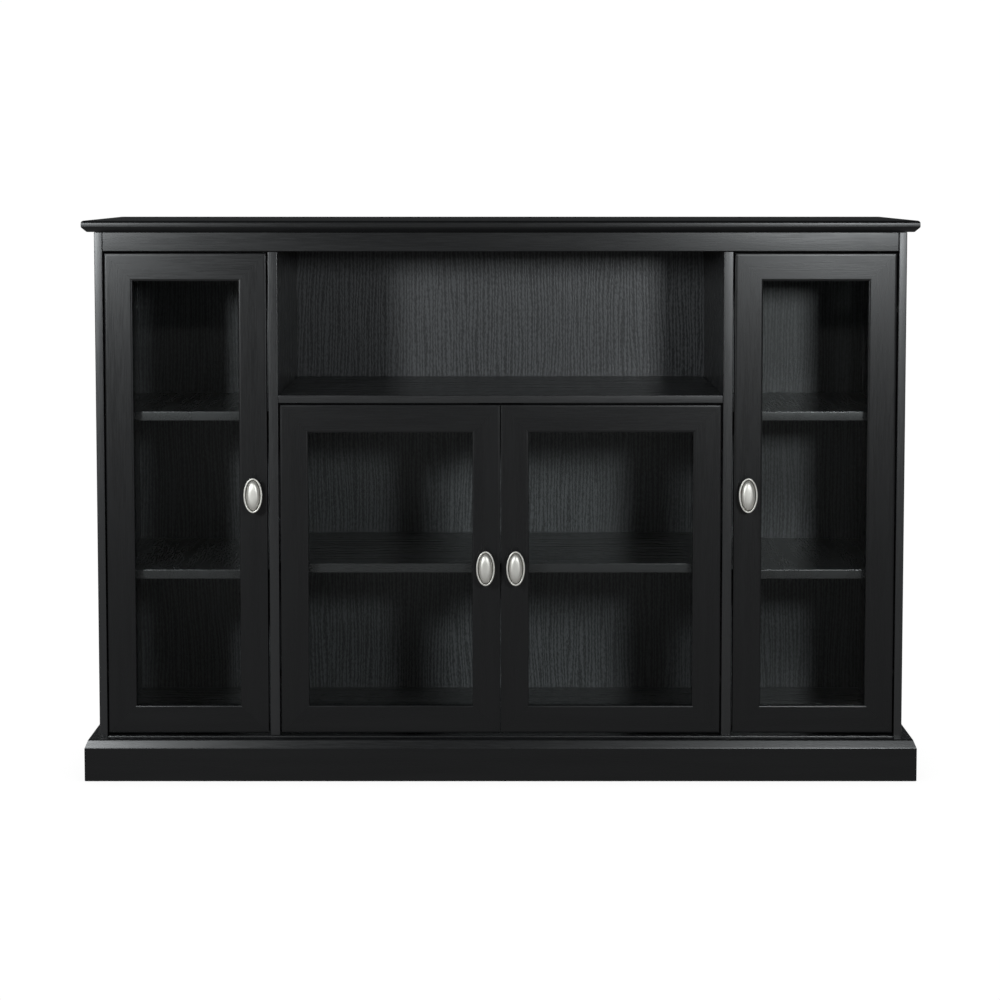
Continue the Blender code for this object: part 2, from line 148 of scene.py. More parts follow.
class ShaderGraph:
    """A material's node tree, with short ways to add nodes to it."""

    def __init__(self, name: str) -> None:
        """Start an empty material."""
        self.material = bpy.data.materials.new(name)
        self.material.use_nodes = True
        self.tree = self.material.node_tree
        self.tree.nodes.clear()

    def node(self, kind: str, settings: dict, inputs: dict) -> bpy.types.Node:
        """Add a node, set it up, then feed its inputs.

        Args:
            kind: The node's type.
            settings: Attribute values; "stops" holds a ramp's (place, grey) pairs.
            inputs: Socket name or index to a value, Term, colour or socket.

        Returns:
            The new node.
        """
        node = self.tree.nodes.new(kind)
        for name, value in settings.items():
            if name == "stops":
                self._set_stops(node.color_ramp, value)
            else:
                setattr(node, name, value)
        for key, value in inputs.items():
            self._feed(node.inputs[key], value)
        return node

    @staticmethod
    def _set_stops(ramp: bpy.types.ColorRamp, stops: Sequence[tuple[float, float]]) -> None:
        """Give a colour ramp grey stops."""
        while len(ramp.elements) < len(stops):
            ramp.elements.new(0.5)
        for element, (place, grey) in zip(ramp.elements, stops):
            element.position = place
            element.color = (grey, grey, grey, 1.0)

    def _feed(self, target: bpy.types.NodeSocket, value: object) -> None:
        """Link or set one input socket."""
        if isinstance(value, Term):
            value = value.socket
        if isinstance(value, bpy.types.NodeSocket):
            self.tree.links.new(value, target)
        elif isinstance(value, tuple) and len(value) == 3 and target.type == "RGBA":
            target.default_value = (*value, 1.0)
        else:
            target.default_value = value

    def stretched(self, grain: Axis, across: float, along: float) -> bpy.types.NodeSocket:
        """Return object coordinates scaled for a pattern that runs along the grain.

        Args:
            grain: The grain's axis.
            across: Pattern repeats per metre across the grain.
            along: Pattern repeats per metre along it.

        Returns:
            The scaled coordinates.
        """
        scale = [across] * 3
        scale[grain.value] = along
        place = self.node("ShaderNodeTexCoord", {}, {}).outputs["Object"]
        mapping = self.node("ShaderNodeMapping", {}, {"Vector": place, "Scale": tuple(scale)})
        return mapping.outputs["Vector"]

    def noise(self, vector: bpy.types.NodeSocket, detail: float, scale: float = 1.0) -> Term:
        """Return fractal noise over the given coordinates."""
        made = self.node("ShaderNodeTexNoise", {"noise_dimensions": "3D"},
                         {"Vector": vector, "Scale": scale, "Detail": detail})
        return Term(self, made.outputs["Fac"])

    def ramp(self, value: Term, *stops: tuple[float, float]) -> Term:
        """Reshape a number with a ramp of (place, grey) stops."""
        made = self.node("ShaderNodeValToRGB", {"stops": stops}, {"Fac": value})
        return Term(self, made.outputs["Color"])

    def mix(self, mask: Term, first: object, second: object) -> bpy.types.NodeSocket:
        """Mix two colours by a mask."""
        made = self.node("ShaderNodeMix", {"data_type": "RGBA"}, {0: mask, 6: first, 7: second})
        return made.outputs[2]

    def bump(self, height: Term, depth: float, strength: float = 1.0) -> bpy.types.NodeSocket:
        """Return a normal pressed in by a height map, depth in metres."""
        made = self.node("ShaderNodeBump", {},
                         {"Strength": strength, "Distance": depth, "Height": height})
        return made.outputs["Normal"]

    def principled(self, **inputs: object) -> bpy.types.NodeSocket:
        """Return a Principled shader; an underscore in a name stands for a space."""
        named = {name.replace("_", " "): value for name, value in inputs.items()}
        return self.node("ShaderNodeBsdfPrincipled", {}, named).outputs["BSDF"]

    def finished(self, shader: bpy.types.NodeSocket) -> bpy.types.Material:
        """Send a shader to the surface and return the material."""
        self.node("ShaderNodeOutputMaterial", {}, {"Surface": shader})
        return self.material


# ---- Finishes --------------------------------------------------------------
@dataclass(frozen=True)
class SatinBlack:
    """Satin black lacquer that lets a fine close grain show."""

    grain: Axis
    deep: tuple = (0.0066, 0.0067, 0.0071)
    worn: tuple = (0.0088, 0.0089, 0.0093)
    gloss: float = 0.255
    sheen: float = 0.35
    pore_depth: float = 0.05 * MM

    @classmethod
    def edged(cls, grain: Axis) -> "SatinBlack":
        """Return the carcass boards' finish, a little paler and shinier."""
        return cls(grain, deep=(0.0110, 0.0113, 0.0120), worn=(0.0150, 0.0153, 0.0160),
                   sheen=0.68)

    @lru_cache(maxsize=None)
    def material(self) -> bpy.types.Material:
        """Return the material, made once for each grain direction and sheen."""
        graph = ShaderGraph(f"satin_black_{self.sheen:.2f}_grain_{self.grain.name.lower()}")
        pores = graph.noise(graph.stretched(self.grain, 900, 30), detail=3)
        figure = graph.noise(graph.stretched(self.grain, 55, 3.5), detail=4)
        peel = graph.noise(graph.stretched(self.grain, 420, 420), detail=1)
        streaks = graph.ramp(figure, (0.30, 0.0), (0.72, 1.0))
        open_pores = graph.ramp(pores, (0.34, 0.0), (0.58, 1.0))
        height = open_pores * 0.7 + peel * 0.3
        return graph.finished(graph.principled(
            Base_Color=graph.mix(streaks * 0.7 + open_pores * 0.3, self.deep, self.worn),
            Specular_IOR_Level=self.sheen,
            Roughness=self.gloss + streaks * 0.03 + (1 - open_pores) * 0.05,
            Normal=graph.bump(height, self.pore_depth, strength=0.25)))


@dataclass(frozen=True)
class EmbossedPanel:
    """Black laminate embossed with upright ash-like grain in fine beaded ridges."""

    trough: tuple = (0.022, 0.023, 0.024)
    ridge: tuple = (0.082, 0.085, 0.088)
    emboss_depth: float = 0.5 * MM
    ridge_pitch: float = 5.8 * MM
    sheen: float = 0.35

    @lru_cache(maxsize=None)
    def material(self) -> bpy.types.Material:
        """Return the material."""
        graph = ShaderGraph("embossed_back_panel")
        place = graph.node("ShaderNodeTexCoord", {}, {}).outputs["Object"]
        sway = graph.noise(graph.stretched(Axis.Z, 5.0, 2.2), detail=1)
        drift = graph.node("ShaderNodeCombineXYZ", {}, {"X": (sway - 0.5) * 0.04})
        swayed = graph.node("ShaderNodeVectorMath", {"operation": "ADD"},
                            {0: place, 1: drift.outputs["Vector"]})
        tall = graph.node("ShaderNodeMapping", {}, {
            "Vector": swayed.outputs["Vector"], "Scale": (95.0, 1.0, 7.0)})
        beaded = graph.node("ShaderNodeMapping", {}, {
            "Vector": swayed.outputs["Vector"], "Scale": (560.0, 1.0, 170.0)})
        shift = graph.noise(tall.outputs["Vector"], detail=1)
        across = Term(graph, graph.node("ShaderNodeSeparateXYZ", {}, {
            0: swayed.outputs["Vector"]}).outputs["X"])
        ridges = (across * (2 * math.pi / self.ridge_pitch) + shift * 14.0).sine() * 0.5 + 0.5
        beads = graph.ramp(graph.noise(beaded.outputs["Vector"], detail=1),
                           (0.36, 0.0), (0.64, 1.0))
        relief = graph.ramp(ridges * 0.55 + beads * 0.45, (0.25, 0.0), (0.80, 1.0))
        return graph.finished(graph.principled(
            Base_Color=graph.mix(relief, self.trough, self.ridge),
            Specular_IOR_Level=self.sheen,
            Roughness=0.38 - relief * 0.06,
            Normal=graph.bump(relief, self.emboss_depth, strength=0.2)))


@dataclass(frozen=True)
class Hardboard:
    """Bare reverse of the back panels: dark, dull and fibrous."""

    light: tuple = (0.030, 0.027, 0.024)
    dark: tuple = (0.014, 0.013, 0.012)

    @lru_cache(maxsize=None)
    def material(self) -> bpy.types.Material:
        """Return the material."""
        graph = ShaderGraph("dark_hardboard")
        mesh_marks = graph.noise(graph.stretched(Axis.Z, 520, 520), detail=3)
        clouds = graph.noise(graph.stretched(Axis.Z, 9, 9), detail=3)
        return graph.finished(graph.principled(
            Base_Color=graph.mix(mesh_marks * 0.6 + clouds * 0.4, self.dark, self.light),
            Roughness=0.78 + mesh_marks * 0.12,
            Normal=graph.bump(mesh_marks, 0.12 * MM, strength=0.5)))


@dataclass(frozen=True)
class ClearGlass:
    """Clear float glass: see-through, with a faint mirror that grows at a glance."""

    index: float = 1.20
    tint: tuple = (0.985, 0.995, 0.992)

    @lru_cache(maxsize=None)
    def material(self) -> bpy.types.Material:
        """Return the material."""
        graph = ShaderGraph("clear_glass")
        through = graph.node("ShaderNodeBsdfTransparent", {}, {"Color": self.tint})
        mirror = graph.node("ShaderNodeBsdfGlossy", {},
                            {"Color": (0.9, 0.92, 0.92), "Roughness": 0.02})
        glance = graph.node("ShaderNodeFresnel", {}, {"IOR": self.index})
        pane = graph.node("ShaderNodeMixShader", {}, {
            0: glance.outputs[0], 1: through.outputs[0], 2: mirror.outputs[0]})
        return graph.finished(pane.outputs[0])


@dataclass(frozen=True)
class BrushedNickel:
    """Satin nickel brushed from end to end, with shade painted dark where it is recessed."""

    bright: tuple = (0.82, 0.80, 0.75)
    shade: tuple = (0.66, 0.64, 0.59)
    # Colour of the shade painted into the knob's groove.
    recess: tuple = (0.070, 0.067, 0.060)

    @lru_cache(maxsize=None)
    def material(self) -> bpy.types.Material:
        """Return the material; the mesh's "recess" attribute says where shade is painted dark."""
        graph = ShaderGraph("brushed_nickel")
        strokes = graph.noise(graph.stretched(Axis.Z, 3200, 90), detail=2)
        clouds = graph.noise(graph.stretched(Axis.Z, 130, 130), detail=2)
        # Painted shade in the groove: where the recess attribute is high, the colour goes dark, less
        # metallic and rougher.
        painted_groove_shade = Term(graph, graph.node("ShaderNodeAttribute", {"attribute_name": "recess"},
                                        {}).outputs["Fac"])
        metal = graph.mix(strokes * 0.6 + clouds * 0.4, self.shade, self.bright)
        return graph.finished(graph.principled(
            Base_Color=graph.mix(painted_groove_shade, metal, self.recess),
            Roughness=0.40 + strokes * 0.10 + painted_groove_shade * 0.25,
            Metallic=0.85 - painted_groove_shade * 0.3,
            Normal=graph.bump(strokes, 0.03 * MM, strength=0.25)))


@dataclass(frozen=True)
class PlatedSteel:
    """Nickel-plated pressed steel for hinges, pins and screws."""

    light: tuple = (0.66, 0.66, 0.65)
    dark: tuple = (0.42, 0.42, 0.42)

    @lru_cache(maxsize=None)
    def material(self) -> bpy.types.Material:
        """Return the material."""
        graph = ShaderGraph("plated_steel")
        rolling = graph.noise(graph.stretched(Axis.Z, 700, 120), detail=3)
        return graph.finished(graph.principled(
            Base_Color=graph.mix(rolling, self.dark, self.light),
            Roughness=0.20 + rolling * 0.16,
            Metallic=1.0,
            Normal=graph.bump(rolling, 0.02 * MM, strength=0.3)))


@dataclass(frozen=True)
class CatchPlastic:
    """Black moulded plastic with a fine spark-eroded skin."""

    tone: tuple = (0.018, 0.018, 0.019)

    @lru_cache(maxsize=None)
    def material(self) -> bpy.types.Material:
        """Return the material."""
        graph = ShaderGraph("catch_plastic")
        skin = graph.noise(graph.stretched(Axis.X, 1600, 1600), detail=2)
        return graph.finished(graph.principled(
            Base_Color=graph.mix(skin, self.tone, tuple(2 * part for part in self.tone)),
            Roughness=0.45 + skin * 0.15,
            Normal=graph.bump(skin, 0.04 * MM, strength=0.4)))


# ---- Mesh work -------------------------------------------------------------
class Solid:
    """A closed mesh in the making, put together from simple closed forms."""

    def __init__(self) -> None:
        """Start with nothing."""
        self.bm = bmesh.new()

    def box(self, low: Vector, high: Vector, ease: float = 0.0, segments: int = 2) -> "Solid":
        """Add a box, its edges rounded.

        Args:
            low: Its lowest corner.
            high: Its highest corner.
            ease: The radius of its edges.
            segments: Facets round each edge.

        Returns:
            This solid.
        """
        corners = bmesh.ops.create_cube(self.bm, size=1.0)["verts"]
        bmesh.ops.scale(self.bm, vec=high - low, verts=corners)
        bmesh.ops.translate(self.bm, vec=(low + high) / 2, verts=corners)
        self._round(corners, ease, segments)
        return self

    def _round(self, ends: list[bmesh.types.BMVert], radius: float, segments: int) -> None:
        """Round every edge that meets the given corners."""
        edges = dict.fromkeys(edge for end in ends for edge in end.link_edges)
        if radius:
            bmesh.ops.bevel(self.bm, geom=list(edges), offset=radius, segments=segments,
                            profile=0.5, affect="EDGES", clamp_overlap=True)

    def loft(self, rings: Sequence[Sequence[Vector]]) -> "Solid":
        """Skin a row of rings that have equal numbers of points, and cap both ends."""
        rows = [[self.bm.verts.new(point) for point in ring] for ring in rings]
        for near, far in zip(rows, rows[1:]):
            for step in range(len(near)):
                after = (step + 1) % len(near)
                self.bm.faces.new((near[step], near[after], far[after], far[step]))
        self.bm.faces.new(rows[0])
        self.bm.faces.new(rows[-1])
        return self

    def prism(self, outline: Sequence[tuple[float, float]], depth: float, place: Matrix,
              ease: float = 0.0, segments: int = 2) -> "Solid":
        """Extrude a flat outline in local XY, centred on local Z = 0.

        Args:
            outline: The outline's corners.
            depth: The thickness along local Z.
            place: Where local coordinates go.
            ease: The radius of all its edges.
            segments: Facets round each edge.

        Returns:
            This solid.
        """
        before = set(self.bm.verts)
        self.loft([[place @ Vector((x, y, end * depth / 2)) for x, y in outline]
                   for end in (-1, 1)])
        self._round([end for end in self.bm.verts if end not in before], ease, segments)
        return self

    def turned(self, profile: Sequence[tuple[float, float]], place: Matrix = AT_ORIGIN,
               segments: int = 24) -> "Solid":
        """Turn a profile of (radius, height) points about local Z.

        Args:
            profile: Points from one end to the other; both ends are capped.
            place: Where local coordinates go.
            segments: Facets round the turn.

        Returns:
            This solid.
        """
        angles = [2 * math.pi * step / segments for step in range(segments)]
        return self.loft([
            [place @ Vector((radius * math.cos(angle), radius * math.sin(angle), height))
             for angle in angles] for radius, height in profile])

    def mesh(self, name: str) -> bpy.types.Mesh:
        """Turn the solid into a mesh that is smooth but for its sharp edges."""
        bmesh.ops.recalc_face_normals(self.bm, faces=self.bm.faces)
        mesh = bpy.data.meshes.new(name)
        self.bm.to_mesh(mesh)
        self.bm.free()
        smooth_but_sharp(mesh)
        return mesh


def smooth_but_sharp(mesh: bpy.types.Mesh) -> None:
    """Shade a mesh smooth and keep its corners crisp."""
    mesh.shade_smooth()
    mesh.set_sharp_from_angle(angle=SHARP_ANGLE)


def arc(center: tuple[float, float], radius: float, start: float, end: float,
        steps: int, squash: float = 1.0) -> list[tuple[float, float]]:
    """Return points on an arc, which may be flattened to part of an oval.

    Args:
        center: Its centre.
        radius: Its radius.
        start: Its first angle, in degrees.
        end: Its last angle, in degrees.
        steps: How many chords it has.
        squash: Its second radius, as a share of the first.

    Returns:
        The points, both ends included.
    """
    angles = [math.radians(start + (end - start) * step / steps) for step in range(steps + 1)]
    return [(center[0] + radius * math.cos(angle),
             center[1] + radius * squash * math.sin(angle)) for angle in angles]


def stadium(half_length: float, radius: float, steps: int = 8) -> list[tuple[float, float]]:
    """Return an outline with round ends, long in Y."""
    straight = half_length - radius
    return [*arc((0, straight), radius, 0, 180, steps), *arc((0, -straight), radius, 180, 360, steps)]


def frame_matrix(origin: Vector, x_way: Vector, y_way: Vector) -> Matrix:
    """Return the matrix of a right-handed local frame at a point."""
    turn = Matrix((x_way, y_way, x_way.cross(y_way))).transposed().to_4x4()
    return Matrix.Translation(origin) @ turn


def corners(one: Vector, other: Vector) -> tuple[Vector, Vector]:
    """Return the lowest and highest corners of the box between two of its corners."""
    sides = [sorted(pair) for pair in zip(one, other)]
    return Vector([low for low, _ in sides]), Vector([high for _, high in sides])


def cut(mesh: bpy.types.Mesh, cutter: bpy.types.Mesh) -> bpy.types.Mesh:
    """Return a mesh with another cut out of it; both meshes are used up."""
    blank = bpy.data.objects.new("blank", mesh)
    tool = bpy.data.objects.new("tool", cutter)
    for item in (blank, tool):
        bpy.context.scene.collection.objects.link(item)
    groove = blank.modifiers.new("cut", "BOOLEAN")
    groove.solver = "EXACT"
    groove.object = tool
    graph = bpy.context.evaluated_depsgraph_get()
    made = bpy.data.meshes.new_from_object(blank.evaluated_get(graph))
    for item in (blank, tool):
        bpy.data.objects.remove(item)
    smooth_but_sharp(made)
    return made


@dataclass(frozen=True)
class Spot:
    """Where a repeated fitting goes, and how it is turned."""

    place: Vector
    out: Vector
    up: Vector = field(default_factory=lambda: Z_AXIS.copy())

    def turn(self) -> Vector:
        """Return the Euler angles that take local Z to out and local Y to up."""
        across = self.up.cross(self.out)
        return Vector(Matrix((across, self.up, self.out)).transposed().to_euler())


class FittingTree:
    """Geometry Nodes tree that stands one copy of a fitting on every point."""

    def __init__(self) -> None:
        """Build the tree and remember its inputs' identifiers."""
        self.tree = bpy.data.node_groups.new("fittings_on_points", "GeometryNodeTree")
        self.inputs: dict[str, str] = {}
        self._input("Points", "NodeSocketGeometry")
        self._input("Fitting", "NodeSocketObject")
        self._input("Finish", "NodeSocketMaterial")
        self.tree.interface.new_socket("Geometry", in_out="OUTPUT",
                                       socket_type="NodeSocketGeometry")
        source = self.tree.nodes.new("NodeGroupInput")
        result = self.tree.nodes.new("NodeGroupOutput")
        fitting = self._node("GeometryNodeObjectInfo", {"Object": source.outputs["Fitting"]})
        turn = self._node("GeometryNodeInputNamedAttribute", {"Name": "turn"},
                          data_type="FLOAT_VECTOR")
        rotation = self._node("FunctionNodeEulerToRotation", {"Euler": turn.outputs["Attribute"]})
        stand = self._node("GeometryNodeInstanceOnPoints", {
            "Points": source.outputs["Points"], "Instance": fitting.outputs["Geometry"],
            "Rotation": rotation.outputs["Rotation"]})
        real = self._node("GeometryNodeRealizeInstances", {"Geometry": stand.outputs["Instances"]})
        dressed = self._node("GeometryNodeSetMaterial", {
            "Geometry": real.outputs["Geometry"], "Material": source.outputs["Finish"]})
        self.tree.links.new(dressed.outputs["Geometry"], result.inputs["Geometry"])

    def _input(self, name: str, kind: str) -> None:
        """Add one named input."""
        socket = self.tree.interface.new_socket(name, in_out="INPUT", socket_type=kind)
        self.inputs[name] = socket.identifier

    def _node(self, kind: str, inputs: dict, **settings: object) -> bpy.types.Node:
        """Add a node, set it up, then link or set its inputs."""
        node = self.tree.nodes.new(kind)
        for name, value in settings.items():
            setattr(node, name, value)
        for name, value in inputs.items():
            if isinstance(value, bpy.types.NodeSocket):
                self.tree.links.new(value, node.inputs[name])
            else:
                node.inputs[name].default_value = value
        return node

    def mesh(self, fitting: bpy.types.Mesh, spots: Sequence[Spot],
             finish: bpy.types.Material) -> bpy.types.Mesh:
        """Copy a fitting to every spot and return the result as one plain mesh.

        Args:
            fitting: The fitting, standing on its origin along local Z.
            spots: Where the copies go.
            finish: Their material.

        Returns:
            The realised mesh.
        """
        points = bpy.data.meshes.new("spots")
        points.from_pydata([spot.place for spot in spots], [], [])
        turns = points.attributes.new("turn", "FLOAT_VECTOR", "POINT")
        turns.data.foreach_set("vector", [part for spot in spots for part in spot.turn()])
        carrier = bpy.data.objects.new("spots", points)
        pattern = bpy.data.objects.new("pattern", fitting)
        for item in (carrier, pattern):
            bpy.context.scene.collection.objects.link(item)
        modifier = carrier.modifiers.new("fittings", "NODES")
        modifier.node_group = self.tree
        modifier[self.inputs["Fitting"]] = pattern
        modifier[self.inputs["Finish"]] = finish
        graph = bpy.context.evaluated_depsgraph_get()
        made = bpy.data.meshes.new_from_object(carrier.evaluated_get(graph))
        for item in (carrier, pattern):
            bpy.data.objects.remove(item)
        smooth_but_sharp(made)
        return made


FITTINGS = FittingTree()


def screw_head(radius: float, height: float) -> bpy.types.Mesh:
    """Return a domed screw head with a cross recess.

    Args:
        radius: The head's radius.
        height: The head's height.

    Returns:
        The head, standing on its origin along Z.
    """
    dome = [(radius, 0), (radius, 0.35 * height), (0.86 * radius, 0.75 * height),
            (0.5 * radius, height), (0.02 * radius, 1.04 * height)]
    head = Solid().turned(dome, segments=14).mesh("screw_head")
    arm, blade = 0.62 * radius, 0.13 * radius
    outline = []
    for turn in range(4):
        along, aside = Matrix.Rotation(turn * math.pi / 2, 2).col
        outline += [along * arm - aside * blade, along * arm + aside * blade,
                    (along + aside) * blade]
    middle = Matrix.Translation(Vector((0, 0, 1.35 * height)))
    cross = Solid().prism(outline, 2 * height, middle)
    return cut(head, cross.mesh("recess"))


# ---- Sub-assemblies --------------------------------------------------------
BY_ENDING = {
    "face": (EmbossedPanel(), Slot.PANEL),
    "reverse": (Hardboard(), Slot.PANEL),
    "pane": (ClearGlass(), Slot.GLASS),
    "bead": (SatinBlack(Axis.Z), Slot.WOOD),
    "knob": (BrushedNickel(), Slot.NICKEL),
    "case": (CatchPlastic(), Slot.STEEL),
}


@dataclass
class Assembly:
    """A group of pieces that ride on one body."""

    body: str

    def __post_init__(self) -> None:
        """Start with no pieces."""
        self.pieces: dict[str, bpy.types.Object] = {}

    def add(self, name: str, mesh: bpy.types.Mesh, *nodes: str) -> bpy.types.Object:
        """Make a piece, put it on the body and let it stand for CAD nodes.

        Args:
            name: The piece's name.
            mesh: Its mesh, in place.
            nodes: The CAD nodes that it replaces.

        Returns:
            The new piece.
        """
        mesh.name = name
        piece = bpy.data.objects.new(name, mesh)
        bpy.context.scene.collection.objects.link(piece)
        soften = piece.modifiers.new("soften", "WEIGHTED_NORMAL")
        soften.keep_sharp = True
        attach(piece, self.body)
        if nodes:
            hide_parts(*nodes)
        self.pieces[name] = piece
        return piece

    def stand(self, name: str, fitting: bpy.types.Mesh, spots: Sequence[Spot]) -> None:
        """Add a piece that repeats a steel fitting on every spot."""
        self.add(name, FITTINGS.mesh(fitting, spots, PlatedSteel().material()))

    def finish_of(self, name: str) -> tuple[object, Slot]:
        """Return the finish and slot that the end of a piece's name calls for."""
        return BY_ENDING.get(name.rsplit("_", 1)[1], (PlatedSteel(), Slot.STEEL))

    def dress(self) -> None:
        """Give every piece its finish."""
        for name, piece in self.pieces.items():
            finish, slot = self.finish_of(name)
            piece.data.materials.clear()
            piece.data.materials.append(finish.material())

    def report(self) -> None:
        """Log every piece."""
        for name, piece in self.pieces.items():
            LOG.info("%s on %s: %d faces", name, self.body, len(piece.data.polygons))


@dataclass
class Boards(Assembly):
    """The carcass's boards: sides, dividers, crosspieces and loose shelves."""

    ease: float = 1.3 * MM
    hole_radius: float = 2.6 * MM
    hole_depth: float = 7.5 * MM
    hole_pitch: float = 32 * MM
    holes_each_way: int = 2
    front_row: float = 45 * MM
    back_row: float = 50 * MM
    hole_segments: int = 14
    plain: tuple[str, ...] = ("bottom_board", "top_rail", "media_shelf", "plinth_back",
                              "shelf_left_upper", "shelf_left_lower", "shelf_right_upper",
                              "shelf_right_lower", "shelf_center")
    grains: dict[str, Axis] = field(default_factory=dict)

    def build(self) -> None:
        """Build every board, rounded at its edges and bored for shelf pins."""
        for node in self.plain:
            low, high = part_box(node)
            self._board(node, Solid().box(low, high, self.ease).mesh(node))
        for side in ("left", "right"):
            panel = f"side_panel_{side}"
            low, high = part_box(panel)
            sound = Solid().box(low, high, self.ease).mesh(panel)
            self._board(panel, cut(sound, self._bores(self.side_spots(side, panel))))
            divider = f"divider_{side}"
            sound = self._notched(divider)
            spots = [*self.side_spots(side, divider), *self.center_spots(divider)]
            self._board(divider, cut(sound, self._bores(spots)))

    def _board(self, node: str, mesh: bpy.types.Mesh) -> None:
        """Add a board that stands for its CAD node."""
        self.grains[f"{node}_wood"] = Axis.longest(*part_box(node))
        self.add(f"{node}_wood", mesh, node)

    def _notched(self, node: str) -> bpy.types.Mesh:
        """Build a divider, notched at the top front for the rail."""
        low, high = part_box(node)
        rail_low, rail_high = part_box("top_rail")
        notch_y, notch_z = rail_high.y + FIT_GAP, rail_low.z - FIT_GAP
        outline = [(low.y, low.z), (high.y, low.z), (high.y, high.z), (notch_y, high.z),
                   (notch_y, notch_z), (low.y, notch_z)]
        place = frame_matrix(Vector(((low.x + high.x) / 2, 0, 0)), Y_AXIS, Z_AXIS)
        return Solid().prism(outline, high.x - low.x, place, self.ease).mesh(node)

    def rows(self, shelf: str) -> list[tuple[float, float]]:
        """Return the (y, z) places of a shelf's own pins, on its underside."""
        low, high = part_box(shelf)
        height = low.z - self.hole_radius
        return [(low.y + self.front_row, height), (high.y - self.back_row, height)]

    def side_spots(self, side: str, upright: str) -> list[Spot]:
        """Return the spots on an upright's face towards a side bay."""
        facing = 1 if (upright.startswith("side") == (side == "left")) else -1
        return [spot for level in ("upper", "lower")
                for spot in self._face_spots(f"shelf_{side}_{level}", upright, facing)]

    def center_spots(self, upright: str) -> list[Spot]:
        """Return the spots on a divider's face towards the middle bay."""
        facing = 1 if upright.endswith("left") else -1
        return self._face_spots("shelf_center", upright, facing)

    def _face_spots(self, shelf: str, upright: str, facing: int) -> list[Spot]:
        """Return a shelf's pin places on one face of an upright."""
        low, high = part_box(upright)
        face = high.x if facing > 0 else low.x
        return [Spot(Vector((face, y, z)), X_AXIS * facing) for y, z in self.rows(shelf)]

    def _bores(self, spots: Sequence[Spot]) -> bpy.types.Mesh:
        """Build one cutter with a run of holes above and below each pin."""
        cutter = Solid()
        for spot in spots:
            for step in range(-self.holes_each_way, self.holes_each_way + 1):
                mouth = spot.place + Z_AXIS * step * self.hole_pitch
                place = frame_matrix(mouth, spot.up.cross(spot.out), spot.up)
                cutter.turned([(self.hole_radius, -self.hole_depth), (self.hole_radius, 1 * MM)],
                              place, self.hole_segments)
        return cutter.mesh("bores")

    def finish_of(self, name: str) -> tuple[object, Slot]:
        """Return a board's finish, the grain along its length; the rail is plain."""
        finish = SatinBlack if name == "top_rail_wood" else SatinBlack.edged
        return finish(self.grains[name]), Slot.WOOD


@dataclass
class TopBoard(Assembly):
    """The overhanging top, its nose eased above and cut back below."""

    undercut: float = 7.5 * MM
    undercut_height: float = 8.0 * MM
    nose_round: float = 4.4 * MM
    corner_round: float = 1.4 * MM
    steps: int = 6

    def build(self) -> None:
        """Build the board from level outlines, mitred at the front corners."""
        low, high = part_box("top_board")
        soffit = low.z + self.undercut_height
        profile = [
            (self.undercut + self.corner_round, low.z),
            (self.undercut, low.z + 0.3 * self.corner_round),
            (0.35 * self.corner_round, soffit - 0.6 * self.corner_round),
            (0.0, soffit + 0.5 * self.corner_round)]
        profile += [(self.nose_round - out, high.z - self.nose_round + rise)
                    for out, rise in arc((0, 0), self.nose_round, 0, 90, self.steps)]
        rings = [[Vector((low.x + inset, low.y + inset, height)),
                  Vector((high.x - inset, low.y + inset, height)),
                  Vector((high.x - inset, high.y, height)),
                  Vector((low.x + inset, high.y, height))] for inset, height in profile]
        self.add("top_board_wood", Solid().loft(rings).mesh("top_board"), "top_board")

    def finish_of(self, name: str) -> tuple[object, Slot]:
        """Return the board's finish, its grain from end to end."""
        return SatinBlack(Axis.X), Slot.WOOD


def mitred_run(section: Sequence[tuple[float, float]], start: Vector, length: float,
               inward: Vector, across: Vector, mitres: tuple[int, int],
               relief: float) -> list[list[Vector]]:
    """Return the two end rings of a member that is mitred at 45 degrees.

    Args:
        section: (distance in from the long edge, distance across) points.
        start: The low end of the long edge.
        length: The long edge's length.
        inward: The direction in from the long edge.
        across: The direction across; the member runs along inward x across.
        mitres: 1 for a mitred end and 0 for a square one, low end first.
        relief: How far each mitred end stands back, along the member.

    Returns:
        The rings at both ends.
    """
    along = inward.cross(across)
    rings = []
    for mitre, end, way in ((mitres[0], 0.0, 1), (mitres[1], length, -1)):
        rings.append([start + inward * depth + across * rise
                      + along * (end + way * mitre * (depth + relief))
                      for depth, rise in section])
    return rings


